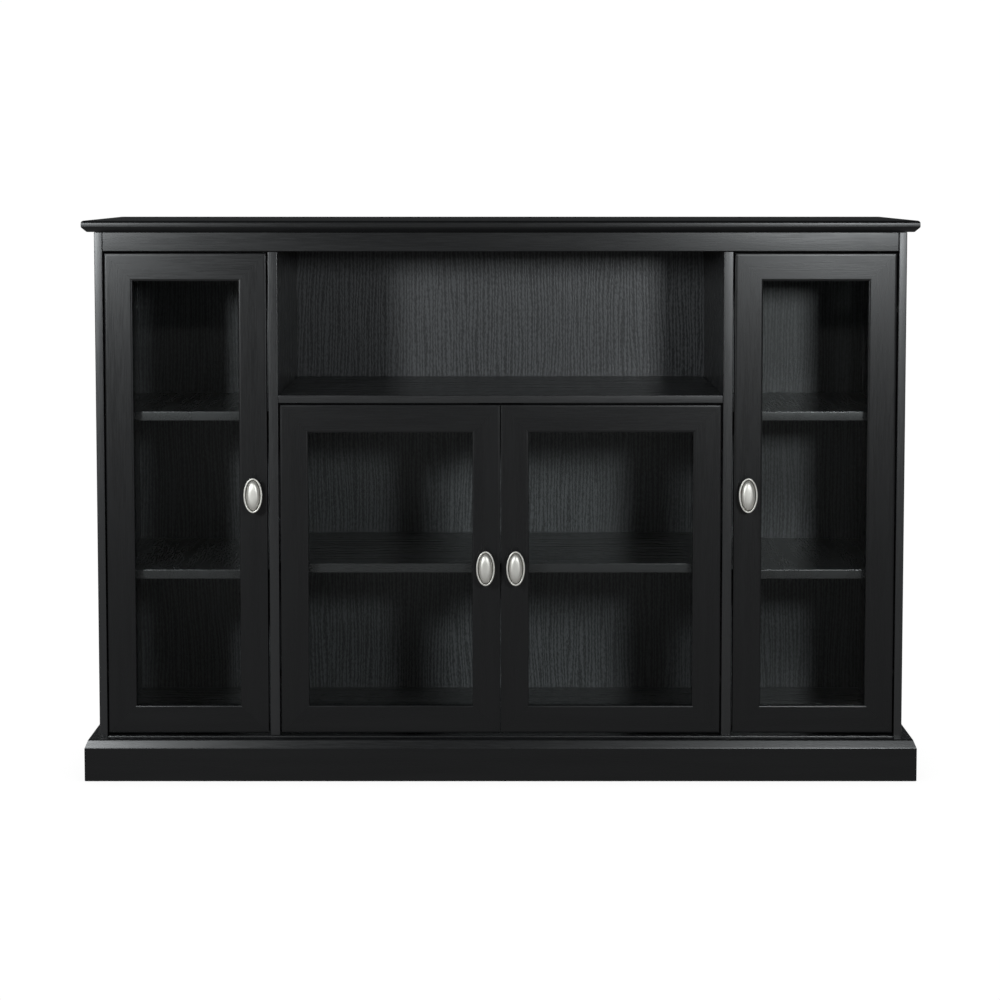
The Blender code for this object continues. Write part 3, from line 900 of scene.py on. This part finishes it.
@dataclass
class Plinth(Assembly):
    """The moulded base boards: a plain face under a sloping shoulder."""

    shoulder_height: float = 13 * MM
    shoulder_inset: float = 5.7 * MM
    arris: float = 1.6 * MM
    relief: float = 0.2 * MM

    def _section(self, height: float, thickness: float) -> list[tuple[float, float]]:
        """Return the moulding's section, (in from the face, up from the floor)."""
        arris = self.arris
        toe = height - self.shoulder_height
        return [(0.6 * MM, 0), (0, 0.6 * MM), (0, toe - 0.9 * arris),
                (0.12 * arris, toe - 0.2 * arris), (0.5 * arris, toe + 0.8 * arris),
                (self.shoulder_inset - 0.6 * arris, height - 1.3 * arris),
                (self.shoulder_inset - 0.25 * arris, height - 0.45 * arris),
                (self.shoulder_inset + 0.35 * arris, height - 0.06 * arris),
                (self.shoulder_inset + 1.1 * arris, height),
                (thickness, height), (thickness, 0)]

    def build(self) -> None:
        """Build the three moulded boards from their CAD boxes."""
        front_low, front_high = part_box("plinth_front")
        left_low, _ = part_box("plinth_left")
        _, right_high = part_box("plinth_right")
        section = self._section(front_high.z, front_high.y - front_low.y)
        width = right_high.x - left_low.x
        run = mitred_run(section, Vector((left_low.x, front_low.y, 0)), width,
                         Y_AXIS, Z_AXIS, (1, 1), self.relief)
        self.add("plinth_front_moulding", Solid().loft(run).mesh("front"), "plinth_front")
        for side, sign in (("left", -1), ("right", 1)):
            low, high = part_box(f"plinth_{side}")
            outer = low.x if sign < 0 else high.x
            start = Vector((outer, high.y if sign < 0 else front_low.y, 0))
            mitres = (0, 1) if sign < 0 else (1, 0)
            run = mitred_run(section, start, high.y - front_low.y, X_AXIS * -sign, Z_AXIS,
                             mitres, self.relief)
            self.add(f"plinth_{side}_moulding", Solid().loft(run).mesh(side), f"plinth_{side}")

    def finish_of(self, name: str) -> tuple[object, Slot]:
        """Return a moulding's finish, the grain along its length."""
        return SatinBlack(Axis.X if "front" in name else Axis.Y), Slot.WOOD


@dataclass
class BackPanels(Assembly):
    """Thin back panels: an embossed face each, on a bare hardboard reverse."""

    face_thickness: float = 0.8 * MM
    reach: float = 0.27 * MM
    ease: float = 0.25 * MM
    nail_pitch: float = 95 * MM
    nail_inset: float = 7 * MM
    nail_radius: float = 2.3 * MM
    nail_lift: float = 0.22 * MM

    def build(self) -> None:
        """Build the faces and their reverses, and nail the reverses on."""
        spots: list[Spot] = []
        for bay in ("left", "center", "right"):
            node = f"back_panel_{bay}"
            low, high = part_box(node)
            seam = low.y + self.face_thickness
            face = Solid().box(low, Vector((high.x, seam, high.z)), self.ease, 1)
            self.add(f"{node}_face", face.mesh("face"), node)
            outer_left = low.x - (self.reach if bay == "left" else 0)
            outer_right = high.x + (self.reach if bay == "right" else 0)
            reverse = Solid().box(Vector((outer_left, seam, low.z)),
                                  Vector((outer_right, high.y, high.z)), self.ease, 1)
            self.add(f"{node}_reverse", reverse.mesh("reverse"))
            spots += self._nail_spots(low, high)
        radius, lift = self.nail_radius, self.nail_lift
        head = Solid().turned([(radius, 0), (radius, 0.6 * lift), (0.6 * radius, lift)],
                              segments=12)
        self.stand("back_panel_nails", head.mesh("nail"), spots)

    def _nail_spots(self, low: Vector, high: Vector) -> list[Spot]:
        """Return evenly pitched nail places round a panel's reverse."""
        spots = []
        left, right = low.x + self.nail_inset, high.x - self.nail_inset
        foot, head = low.z + self.nail_inset, high.z - self.nail_inset
        for start, end in (((left, foot), (left, head)), ((left, head), (right, head)),
                           ((right, head), (right, foot)), ((right, foot), (left, foot))):
            start, end = Vector(start), Vector(end)
            count = max(2, round((end - start).length / self.nail_pitch))
            for step in range(count):
                x, z = start.lerp(end, step / count)
                spots.append(Spot(Vector((x, high.y, z)), Y_AXIS))
        return spots


@dataclass
class ShelfPins(Assembly):
    """The steel pins that carry the loose shelves."""

    boards: Boards
    radius: float = 2.4 * MM
    collar: float = 3.9 * MM
    reach: float = 6.4 * MM
    buried: float = 7.0 * MM

    def build(self) -> None:
        """Stand a pin in each hole that a shelf uses."""
        pin = [(0.7 * self.radius, -self.buried), (self.radius, 0.5 * MM - self.buried),
               (self.radius, 0.1 * MM), (self.collar, 0.1 * MM), (self.collar, 0.9 * MM),
               (self.radius, 1.0 * MM), (self.radius, self.reach - 0.5 * MM),
               (0.7 * self.radius, self.reach)]
        spots: list[Spot] = []
        for side in ("left", "right"):
            spots += self.boards.side_spots(side, f"side_panel_{side}")
            spots += self.boards.side_spots(side, f"divider_{side}")
            spots += self.boards.center_spots(f"divider_{side}")
        fitting = Solid().turned(pin, segments=16).mesh("pin")
        self.stand("shelf_pins", fitting, spots)


@dataclass
class Door(Assembly):
    """A glazed door: mitred frame, pane, glazing bead, knob and hinge cups."""

    outer_round: tuple[float, float] = (4.0 * MM, 1.0 * MM)
    inner_round: tuple[float, float] = (4.0 * MM, 1.6 * MM)
    relief: float = 0.05 * MM
    bead_gap: float = 0.3 * MM
    bead_ease: float = 1.6 * MM
    brad_pitch: float = 90 * MM
    knob_segments: int = 72
    dome_inset: float = 4.0 * MM
    groove_depth: float = 2.2 * MM
    crown: float = 1.4 * MM
    crown_rise: float = 0.9 * MM
    cup_radius: float = 13.0 * MM
    cup_wall: float = 0.8 * MM
    ear_spread: float = 17.5 * MM
    ear_screw_spread: float = 18.0 * MM
    strike_inset: float = 9.5 * MM
    strike_drop: float = 24 * MM
    strike_sink: float = 0.7 * MM
    screws: list[Spot] = field(default_factory=list)

    @property
    def hinge_side(self) -> str:
        """Return the side that the door is hung on."""
        return "left" if self.body in ("door_left", "door_center_left") else "right"

    @property
    def inward(self) -> int:
        """Return the X direction from the hinge edge into the door."""
        return 1 if self.hinge_side == "left" else -1

    def build(self) -> None:
        """Build the door from its CAD frame's outline."""
        self.low, stile_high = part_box(f"{self.body}_stile_left")
        _, self.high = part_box(f"{self.body}_stile_right")
        self.frame_width = stile_high.x - self.low.x
        self.thickness = stile_high.y - self.low.y
        glass_low, glass_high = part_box(f"{self.body}_glass")
        self.lip = glass_low.y - self.low.y - self.bead_gap
        self.glass_back = glass_high.y
        self.rebate_edge = glass_low.x - self.low.x - 1 * MM
        self._build_frame()
        self._build_pane(glass_low, glass_high)
        self._build_bead()
        self._build_knob()
        for level in ("upper", "lower"):
            self._build_cup(level)
        self._build_strike()
        self.stand(f"{self.body}_screws", screw_head(3.1 * MM, 1.2 * MM), self.screws)

    def _members(self) -> Iterable[tuple[str, str, Vector, float, Vector]]:
        """Yield each member's side, kind, starting corner, length and inward way."""
        width, height = self.high.x - self.low.x, self.high.z - self.low.z
        y = self.low.y
        yield "left", "stile", Vector((self.low.x, y, self.low.z)), height, X_AXIS
        yield "right", "stile", Vector((self.high.x, y, self.high.z)), height, -X_AXIS
        yield "top", "rail", Vector((self.low.x, y, self.high.z)), width, -Z_AXIS
        yield "bottom", "rail", Vector((self.high.x, y, self.low.z)), width, Z_AXIS

    def _frame_section(self) -> list[tuple[float, float]]:
        """Return the frame's section, (in from the edge, back from the face)."""
        wide, deep = self.outer_round
        front_outer = arc((wide, deep), wide, 180, 270, 8, deep / wide)
        wide, deep = self.inner_round
        front_inner = arc((self.frame_width - wide, deep), wide, 270, 360, 8, deep / wide)
        back = 0.5 * MM
        return [*front_outer, *front_inner, (self.frame_width, self.lip),
                (self.rebate_edge, self.lip), (self.rebate_edge, self.thickness - back),
                (self.rebate_edge - back, self.thickness), (back, self.thickness),
                (0, self.thickness - back)]

    def _build_frame(self) -> None:
        """Build the stiles and rails, and sink the cups' bores in the hinge stile."""
        section = self._frame_section()
        for side, kind, start, length, inward in self._members():
            run = mitred_run(section, start, length, inward, Y_AXIS, (1, 1), self.relief)
            mesh = Solid().loft(run).mesh(side)
            if side == self.hinge_side:
                bores = Solid()
                wall = self.cup_radius + FIT_GAP
                for level in ("upper", "lower"):
                    mouth, depth, _ = self._cup_mouth(level)
                    bores.turned([(wall, -depth - FIT_GAP), (wall, 1 * MM)],
                                 frame_matrix(mouth, -X_AXIS, Z_AXIS), 40)
                mesh = cut(mesh, bores.mesh("bores"))
            node = f"{self.body}_{kind}_{side}"
            self.add(f"{node}_wood", mesh, node)

    def _cup_mouth(self, level: str) -> tuple[Vector, float, float]:
        """Return the middle of a cup's mouth, the cup's depth and its lip's radius."""
        low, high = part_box(f"{self.body}_hinge_cup_{level}")
        mouth = (low + high) / 2
        mouth.y = self.low.y + self.thickness
        return mouth, mouth.y - low.y, (high.x - low.x) / 2

    def _build_pane(self, low: Vector, high: Vector) -> None:
        """Build the pane with its ground edges."""
        pane = Solid().box(low, high, 0.5 * MM, 1)
        self.add(f"{self.body}_pane", pane.mesh("pane"), f"{self.body}_glass")

    def _build_bead(self) -> None:
        """Build the glazing bead behind the pane, and the brads that pin it."""
        deep = self.thickness - (self.glass_back - self.low.y) - self.bead_gap
        wide = self.frame_width - self.rebate_edge - 1.2 * MM
        front = self.glass_back - self.low.y + self.bead_gap
        edge = self.rebate_edge + self.bead_gap
        ease = self.bead_ease
        section = [(edge, front), (edge + wide, front), (edge + wide, front + 0.35 * deep),
                   *arc((edge + wide - ease, front + deep - ease), ease, 0, 90, 3),
                   (edge, front + deep)]
        bead = Solid()
        spots: list[Spot] = []
        for _, _, start, length, inward in self._members():
            bead.loft(mitred_run(section, start, length, inward, Y_AXIS, (1, 1), 0.1 * MM))
            along = inward.cross(Y_AXIS)
            span = length - 2 * (edge + 25 * MM)
            count = max(2, round(span / self.brad_pitch))
            for step in range(count + 1):
                reach = (length - span) / 2 + span * step / count
                spots.append(Spot(start + along * reach + inward * (edge + 0.4 * wide)
                                  + Y_AXIS * (front + deep), Y_AXIS,
                                  along if abs(along.z) > 0.5 else Z_AXIS))
        self.add(f"{self.body}_glazing_bead", bead.mesh("bead"))
        brad = Solid().turned([(0.9 * MM, -0.5 * MM), (0.9 * MM, 0.12 * MM), (0.4 * MM, 0.2 * MM)],
                              segments=10).mesh("brad")
        self.stand(f"{self.body}_brads", brad, spots)

    def _build_knob(self) -> None:
        """Build the oval knob: waisted stem, raised rim, groove darkened with painted shade, and
        dome.
        """
        low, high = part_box(f"{self.body}_knob")
        middle = Vector(((low.x + high.x) / 2, self.low.y, (low.z + high.z) / 2))
        wide, tall = (high.x - low.x) / 2, (high.z - low.z) / 2
        reach = self.low.y - low.y
        rim = 0.83 * reach
        dome_wide, dome_tall = wide - self.dome_inset, tall - self.dome_inset
        # Each level is (out from the face, half width, half height, painted shade); the last number
        # darkens the groove's rings with painted shade.
        levels = [
            (0.3 * MM, 7.3 * MM, 7.3 * MM, 0.0), (1.5 * MM, 7.5 * MM, 7.5 * MM, 0.0),
            (2.6 * MM, 6.4 * MM, 6.4 * MM, 0.0), (4.5 * MM, 5.1 * MM, 5.1 * MM, 0.0),
            (0.36 * reach, 4.8 * MM, 4.8 * MM, 0.0), (0.46 * reach, 6.0 * MM, 7.4 * MM, 0.0),
            (0.54 * reach, 9.6 * MM, 17.0 * MM, 0.0), (0.60 * reach, 0.86 * wide, 0.90 * tall, 0.0),
            (0.66 * reach, 0.96 * wide, 0.975 * tall, 0.0), (0.72 * reach, wide, tall, 0.0),
            (0.77 * reach, wide, tall, 0.0)]
        levels += [(rim - self.crown_rise * (1 - math.sin(angle)),
                    wide - self.crown * (1 - math.cos(angle)),
                    tall - self.crown * (1 - math.cos(angle)), 0.0)
                   for angle in (math.radians(turn) for turn in (25, 50, 75, 100, 125, 150))]
        groove = rim - self.groove_depth
        levels += [(groove + 0.3 * MM, dome_wide + 0.9 * MM, dome_tall + 0.9 * MM, 0.8),
                   (groove, dome_wide + 0.5 * MM, dome_tall + 0.5 * MM, 1.0),
                   (groove + 0.2 * MM, dome_wide + 0.1 * MM, dome_tall + 0.1 * MM, 0.8)]
        rise = reach - groove - 0.4 * MM
        for turn in (12, 25, 38, 50, 62, 73, 82, 88):
            angle = math.radians(turn)
            levels.append((groove + 0.4 * MM + rise * math.sin(angle) ** 1.1,
                           dome_wide * math.cos(angle) ** 0.5,
                           dome_tall * math.cos(angle) ** 0.5, 0.25 if turn < 15 else 0.0))
        levels.append((reach, 0.1 * MM, 0.25 * MM, 0.0))
        angles = [2 * math.pi * step / self.knob_segments for step in range(self.knob_segments)]
        rings = [[middle + Vector((half * math.cos(angle), -out, rise * math.sin(angle)))
                  for angle in angles] for out, half, rise, _ in levels]
        mesh = Solid().loft(rings).mesh("knob")
        # The recess attribute carries the groove's painted shade to the material.
        recess = mesh.attributes.new("recess", "FLOAT", "POINT")
        depths = [level[3] for level in levels for _ in angles]
        recess.data.foreach_set("value", depths)
        self.add(f"{self.body}_oval_knob", mesh, f"{self.body}_knob")
        self.screws.append(Spot(Vector((middle.x, self.low.y + self.thickness, middle.z)), Y_AXIS))

    def _build_cup(self, level: str) -> None:
        """Build a hinge cup: turned bowl, ears for its screws and its link pin."""
        mouth, depth, lip = self._cup_mouth(level)
        place = frame_matrix(mouth, -X_AXIS, Z_AXIS)
        radius = self.cup_radius
        inner = radius - self.cup_wall
        bowl = [(0.1 * MM, -depth), (radius - 1.5 * MM, -depth), (radius, 1.5 * MM - depth),
                (radius, 0.2 * MM), (lip, 0.3 * MM), (lip, 0.9 * MM), (lip - 0.4 * MM, 1.2 * MM),
                (inner + 0.5 * MM, 1.2 * MM), (inner, 0.8 * MM), (inner, 2.4 * MM - depth),
                (inner - 1.2 * MM, 1.0 * MM - depth), (0.1 * MM, 0.9 * MM - depth)]
        cup = Solid().turned(bowl, place, 40)
        for way in (-1, 1):
            ear = frame_matrix(mouth + Z_AXIS * way * self.ear_spread + Y_AXIS * 0.75 * MM,
                               X_AXIS, Z_AXIS)
            cup.prism(stadium(6.0 * MM, 5.0 * MM), 0.9 * MM, ear, 0.25 * MM, 1)
            self.screws.append(Spot(mouth + Z_AXIS * way * self.ear_screw_spread
                                    + Y_AXIS * 1.15 * MM, Y_AXIS))
        pin = frame_matrix(mouth + X_AXIS * self.inward * 4 * MM - Y_AXIS * 3.5 * MM,
                           X_AXIS, Y_AXIS)
        cup.turned([(1.3 * MM, -inner * 0.9), (1.3 * MM, inner * 0.9)], pin, 12)
        for way in (-1, 1):
            link = frame_matrix(mouth + X_AXIS * self.inward * 1.5 * MM - Y_AXIS * 4.2 * MM
                                + Z_AXIS * way * 5.5 * MM, X_AXIS, Y_AXIS)
            cup.prism([(-9 * MM, -2.4 * MM), (4.5 * MM, -2.4 * MM), (5.5 * MM, 2.6 * MM),
                       (-6.5 * MM, 2.6 * MM)], 1.4 * MM, link, 0.4 * MM, 1)
        node = f"{self.body}_hinge_cup_{level}"
        self.add(f"{node}_steel", cup.mesh("cup"), node)

    def _build_strike(self) -> None:
        """Build the steel plate that the magnetic catch holds."""
        latch_edge = self.high.x if self.inward > 0 else self.low.x
        middle = Vector((latch_edge - self.inward * self.strike_inset,
                         self.low.y + self.thickness + 0.6 * MM, self.high.z - self.strike_drop))
        plate = frame_matrix(middle, X_AXIS, Z_AXIS)
        strike = Solid().prism(stadium(16 * MM, 6 * MM), 0.9 * MM, plate, 0.25 * MM, 1)
        self.add(f"{self.body}_strike_plate", strike.mesh("strike"))
        self.screws.append(Spot(middle - Y_AXIS * self.strike_sink, Y_AXIS))

    def finish_of(self, name: str) -> tuple[object, Slot]:
        """Return a piece's finish; a frame member's grain runs along it."""
        if name.endswith("_wood"):
            return SatinBlack(Axis.Z if "stile" in name else Axis.X), Slot.WOOD
        return super().finish_of(name)


@dataclass
class HingeArms(Assembly):
    """The arms and mounting plates that the doors' cups fold onto."""

    doors: Sequence[Door]
    plate_thickness: float = 1.8 * MM
    wing_setback: float = 21 * MM
    wing_screw_spread: float = 16 * MM
    riser: tuple[float, float] = (44 * MM, 6 * MM)
    arm_ease: float = 0.9 * MM
    screws: list[Spot] = field(default_factory=list)

    def build(self) -> None:
        """Build every arm in its CAD box."""
        for door in self.doors:
            for level in ("upper", "lower"):
                self._arm(f"{door.body}_hinge_arm_{level}", door.inward)
        self.stand("hinge_plate_screws", screw_head(3.0 * MM, 1.1 * MM), self.screws)

    def _arm(self, node: str, inward: int) -> None:
        """Build one arm: winged plate, riser, cranked arm and its screws."""
        low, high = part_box(node)
        panel = low.x if inward > 0 else high.x
        front, back = low.y, high.y
        middle = (low.z + high.z) / 2
        wide = high.x - low.x
        solid = Solid()
        wing = frame_matrix(Vector((panel + inward * self.plate_thickness / 2,
                                    back - self.wing_setback, middle)), Y_AXIS, Z_AXIS)
        solid.prism(stadium((high.z - low.z) / 2, 6.5 * MM), self.plate_thickness, wing,
                    0.4 * MM, 1)
        length, half = self.riser
        solid.box(*corners(Vector((panel, back - length, middle - half)),
                           Vector((panel + inward * half, back - 1 * MM, middle + half))), 0.8 * MM)
        outline = [(0.20 * wide, back - 3 * MM), (0.42 * wide, back - 1 * MM),
                   (0.47 * wide, back - 24 * MM), (0.52 * wide, back - 38 * MM),
                   (0.95 * wide, front + 8.5 * MM), (wide, front + 6 * MM), (wide, front),
                   (0.72 * wide, front), (0.60 * wide, front + 4 * MM),
                   (0.30 * wide, back - 42 * MM), (0.20 * wide, back - 38 * MM)]
        turned = [(panel + inward * out, y) for out, y in outline]
        body = frame_matrix(Vector((0, 0, middle)), X_AXIS, Y_AXIS)
        solid.prism(turned, high.z - low.z - 30 * MM, body, self.arm_ease)
        self.add(f"{node}_steel", solid.mesh("arm"), node)
        out = X_AXIS * inward
        for way in (-1, 1):
            self.screws.append(Spot(Vector((panel + inward * self.plate_thickness,
                                            back - self.wing_setback,
                                            middle + way * self.wing_screw_spread)), out))
        for setback in (9 * MM, 30 * MM):
            self.screws.append(Spot(Vector((panel + inward * 0.45 * wide, back - setback, middle)),
                                    out))


@dataclass
class Catches(Assembly):
    """Magnetic catches that hold the doors shut."""

    doors: Sequence[Door]
    depth: float = 34 * MM
    width: float = 14 * MM
    length: float = 40 * MM
    play: float = 1.7 * MM
    magnet_inset: float = 3 * MM
    ease: float = 1.2 * MM
    screws: list[Spot] = field(default_factory=list)

    def build(self) -> None:
        """Build a catch beside each side door and under the media shelf."""
        for door in self.doors:
            self._catch(door)
        self.stand("catch_screws", screw_head(2.6 * MM, 1.0 * MM), self.screws)

    def _catch(self, door: Door) -> None:
        """Build one catch behind a door's strike plate."""
        front = door.low.y + door.thickness + self.play
        if "center" in door.body:
            latch_edge = door.high.x if door.inward > 0 else door.low.x
            shelf_low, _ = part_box("media_shelf")
            near = Vector((latch_edge - door.inward * 0.5 * MM, front, shelf_low.z - 0.2 * MM))
            far = Vector((latch_edge - door.inward * self.length * 0.9, front + self.depth,
                          near.z - self.width))
            run, mount, out, up = 0, 2, -Z_AXIS, Y_AXIS
        else:
            divider_low, divider_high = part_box(f"divider_{door.hinge_side}")
            wall = divider_low.x if door.inward > 0 else divider_high.x
            middle = door.high.z - door.strike_drop
            near = Vector((wall, front, middle - self.length / 2))
            far = Vector((wall - door.inward * self.width, front + self.depth,
                          middle + self.length / 2))
            run, mount, out, up = 2, 0, X_AXIS * -door.inward, Z_AXIS
        low, high = corners(near, far)
        self.add(f"{door.body}_catch_case", Solid().box(low, high, self.ease).mesh("case"))
        inset = self.magnet_inset
        magnet = Solid().box(Vector((low.x + inset, front - 0.4 * MM, low.z + inset)),
                             Vector((high.x - inset, front + 3 * MM, high.z - inset)), 0.3 * MM, 1)
        self.add(f"{door.body}_catch_magnet", magnet.mesh("magnet"))
        for share in (0.2, 0.8):
            place = (low + high) / 2
            place[run] = low[run] + share * (high[run] - low[run])
            place[mount] = far[mount]
            self.screws.append(Spot(place, out, up))


# ---- Studio ----------------------------------------------------------------
@dataclass(frozen=True)
class Softbox:
    """A rectangular lamp that points at a spot on the cabinet."""

    name: str
    place: tuple[float, float, float]
    aim: tuple[float, float, float]
    size: tuple[float, float]
    power: float
    tone: tuple[float, float, float] = (0.94, 0.98, 1.0)

    def hang(self) -> None:
        """Add the lamp to the scene."""
        lamp = bpy.data.lights.new(self.name, "AREA")
        lamp.shape = "RECTANGLE"
        lamp.size, lamp.size_y = self.size
        lamp.energy = self.power
        lamp.color = self.tone
        holder = bpy.data.objects.new(self.name, lamp)
        way = Vector(self.aim) - Vector(self.place)
        holder.location = self.place
        holder.rotation_euler = way.to_track_quat("-Z", "Y").to_euler()
        bpy.context.scene.collection.objects.link(holder)


@dataclass(frozen=True)
class Studio:
    """Pale floor, soft lamps and the camera."""

    distance: float = 3.889
    eye_height: float = 0.9552
    tilt: float = 4.205
    lens: float = 89.02
    rise: float = -0.14
    slide: float = -0.0006
    floor_half: float = 12.0
    surround: float = 0.05
    floor_glow: float = 0.25
    backdrop: float = 1.02
    contact_shadow_reach: float = 0.12
    contact_shadow_power: float = 0.1
    lamps: tuple[Softbox, ...] = (
        Softbox("right_key", (0.88, -2.58, 1.08), (0.50, 0.0, 0.80), (0.25, 0.25), 20.5),
        Softbox("left_key", (-1.15, -1.88, 1.05), (-0.60, 0.0, 0.80), (0.22, 0.22), 22.5),
        Softbox("right_wing", (3.0, 0.6, 1.0), (0.64, 0.1, 0.5), (1.2, 1.2), 24.0),
        Softbox("left_wing", (-3.0, 0.6, 1.0), (-0.64, 0.1, 0.5), (1.2, 1.2), 24.0),
        Softbox("rear_glow", (0.0, 3.2, 0.5), (0.0, 0.2, 0.5), (1.6, 0.6), 35.0),
        Softbox("high_rear", (-3.4, 3.6, 3.2), (0.0, 0.0, 0.85), (2.2, 2.2), 45.0),
    )

    def set_up(self) -> None:
        """Add everything that isn't the cabinet."""
        self._floor()
        self._world()
        self._camera()
        for lamp in self.lamps:
            lamp.hang()
        bpy.context.scene.view_settings.view_transform = "Standard"

    def _floor(self) -> None:
        """Lay a pale floor that stays quiet in the cabinet's gloss, with a contact shadow painted
        into it near the cabinet.
        """
        mesh = bpy.data.meshes.new("floor")
        half, depth = self.floor_half, -0.3 * MM
        mesh.from_pydata([(-half, -half, depth), (half, -half, depth), (half, half, depth),
                          (-half, half, depth)], [], [(0, 1, 2, 3)])
        floor = bpy.data.objects.new("floor", mesh)
        bpy.context.scene.collection.objects.link(floor)
        graph = ShaderGraph("pale_floor")
        seen = graph.node("ShaderNodeLightPath", {}, {}).outputs["Is Camera Ray"]
        # Painted contact shadow: ambient occlusion darkens the camera's white floor glow near the
        # cabinet.
        contact = graph.node("ShaderNodeAmbientOcclusion", {"samples": 8},
                             {"Distance": self.contact_shadow_reach})
        shade = Term(graph, contact.outputs["AO"]) ** self.contact_shadow_power
        pale = graph.node("ShaderNodeEmission", {}, {"Strength": shade * self.backdrop})
        quiet = graph.node("ShaderNodeEmission", {}, {"Strength": self.floor_glow})
        both = graph.node("ShaderNodeMixShader", {}, {
            0: seen, 1: quiet.outputs[0], 2: pale.outputs[0]})
        mesh.materials.append(graph.finished(both.outputs[0]))

    def _world(self) -> None:
        """Surround the cabinet with a white backdrop and a dim studio."""
        world = bpy.data.worlds.new("studio")
        world.use_nodes = True
        tree = world.node_tree
        tree.nodes.clear()
        seen = tree.nodes.new("ShaderNodeLightPath").outputs["Is Camera Ray"]
        shades = []
        for tone, strength in (((0.92, 0.96, 1.0), self.surround), ((1, 1, 1), self.backdrop)):
            shades.append(tree.nodes.new("ShaderNodeBackground"))
            shades[-1].inputs["Color"].default_value = (*tone, 1)
            shades[-1].inputs["Strength"].default_value = strength
        both = tree.nodes.new("ShaderNodeMixShader")
        result = tree.nodes.new("ShaderNodeOutputWorld")
        tree.links.new(seen, both.inputs[0])
        for place, shade in enumerate(shades, 1):
            tree.links.new(shade.outputs[0], both.inputs[place])
        tree.links.new(both.outputs[0], result.inputs["Surface"])
        bpy.context.scene.world = world

    def _camera(self) -> None:
        """Stand the camera before the cabinet, tilted a little down."""
        front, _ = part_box("side_panel_left")
        lens = bpy.data.cameras.new("camera")
        lens.lens = self.lens
        lens.shift_x, lens.shift_y = self.slide, self.rise
        lens.dof.use_dof = False
        camera = bpy.data.objects.new("camera", lens)
        camera.location = (0.0, front.y - self.distance, self.eye_height)
        camera.rotation_euler = (math.radians(90 - self.tilt), 0, 0)
        bpy.context.scene.collection.objects.link(camera)
        bpy.context.scene.camera = camera


def main() -> None:
    """Build, dress and report every sub-assembly, then set up the studio."""
    logging.basicConfig(level=logging.INFO, format="%(name)s: %(message)s")
    boards = Boards(ROOT)
    doors = [Door(body) for body in ("door_left", "door_center_left",
                                     "door_center_right", "door_right")]
    parts = [boards, TopBoard(ROOT), Plinth(ROOT), BackPanels(ROOT), ShelfPins(ROOT, boards),
             *doors, HingeArms(ROOT, doors), Catches(ROOT, doors)]
    for part in parts:
        part.build()
        part.dress()
        part.report()
    Studio().set_up()


if __name__ == "__main__":
    main()
